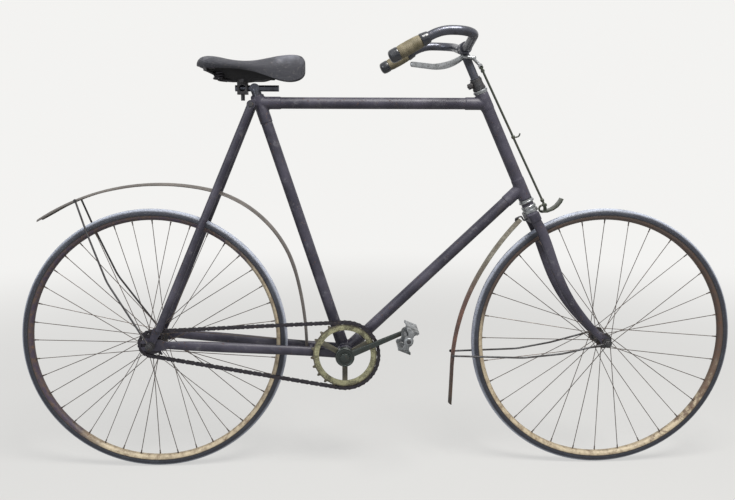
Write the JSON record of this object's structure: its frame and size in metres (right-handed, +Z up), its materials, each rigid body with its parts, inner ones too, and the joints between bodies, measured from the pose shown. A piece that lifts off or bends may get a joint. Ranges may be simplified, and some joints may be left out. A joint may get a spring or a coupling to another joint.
{
  "type": "safety bicycle",
  "caption": "Old diamond-frame safety bicycle, weathered, with block chain, plunger brake, swept-back handlebar, leather saddle and one crank left.",
  "frame": {"origin": "top of the saddle, where the rider sits, in the machine's middle plane", "axes": "+X forward, to the front wheel; +Y to the machine's left; +Z up"},
  "size_m": [1.8923, 0.447, 1.1447],
  "materials": {
    "frame_enamel": "old black enamel gone brown, worn",
    "dull_steel": "dull steel with rust",
    "worn_nickel": "nickel plate worn and yellowed",
    "bright_nickel": "nickel plate still bright",
    "chain_steel": "dark oily steel",
    "spoke_wire": "rusted wire",
    "rim_rust": "worn paint over rust",
    "guard_enamel": "dull enamel",
    "guard_rust": "rusty enamel",
    "tyre_rubber": "old grey rubber, cracked",
    "saddle_leather": "old worn leather",
    "grip_cork": "worn grip between dark ferrules"
  },
  "bodies": {
    "frame": {"top_tube": "frame_enamel", "down_tube": "frame_enamel", "seat_tube": "frame_enamel", "head_tube": "frame_enamel", "head_cups": "dull_steel", "seat_lug": "frame_enamel", "bottom_bracket": "frame_enamel", "chain_stay_right": "frame_enamel", "chain_stay_left": "frame_enamel", "seat_stay_right": "frame_enamel", "seat_stay_left": "frame_enamel", "stay_bridges": "frame_enamel", "rear_spindle": "dull_steel", "seat_pin": "dull_steel", "saddle_clip": "dull_steel", "saddle_frame": "dull_steel", "saddle": "saddle_leather", "rear_mudguard": "guard_enamel", "rear_guard_stays": "dull_steel", "chain": "chain_steel"},
    "steering": {"fork_crown": "frame_enamel", "fork_blade_right": "frame_enamel", "fork_blade_left": "frame_enamel", "front_spindle": "dull_steel", "front_mudguard": "guard_rust", "front_guard_stays": "dull_steel", "head_collar": "dull_steel", "stem": "worn_nickel", "handlebar": "worn_nickel", "grips": "grip_cork", "brake_lever": "bright_nickel", "brake_plunger": "dull_steel"},
    "front_wheel": {"front_tyre": "tyre_rubber", "front_rim": "rim_rust", "front_spokes": "spoke_wire", "front_hub": "dull_steel"},
    "rear_wheel": {"rear_tyre": "tyre_rubber", "rear_rim": "rim_rust", "rear_spokes": "spoke_wire", "rear_hub": "dull_steel", "rear_sprocket": "worn_nickel"},
    "crank": {"crank_axle": "dull_steel", "chainring": "worn_nickel", "crank": "worn_nickel", "pedal_spindle": "dull_steel"},
    "pedal": {"pedal": "dull_steel"}
  },
  "joints": [
    {"name": "steering", "type": "hinge", "parent": "frame", "child": "steering", "pos_m": [0.93886, 0, -0.746], "axis": [-0.4115, 0, 0.9114], "range_deg": [-70, 70]},
    {"name": "front_wheel_spin", "type": "hinge", "parent": "steering", "child": "front_wheel", "pos_m": [0.9765, 0, -0.729], "axis": [0, 1, 0], "continuous": true},
    {"name": "crank_spin", "type": "hinge", "parent": "frame", "child": "crank", "pos_m": [0.2866, 0, -0.763], "axis": [0, 1, 0], "continuous": true},
    {"name": "rear_wheel_spin", "type": "hinge", "parent": "frame", "child": "rear_wheel", "pos_m": [-0.216, 0, -0.729], "axis": [0, 1, 0], "continuous": true},
    {"name": "pedal_spin", "type": "hinge", "parent": "crank", "child": "pedal", "pos_m": [0.44493, 0, -0.69579], "axis": [0, 1, 0], "continuous": true}
  ],
  "couplings": [
    {"joint": "rear_wheel_spin", "follows": "crank_spin", "ratio": 2.75}
  ]
}
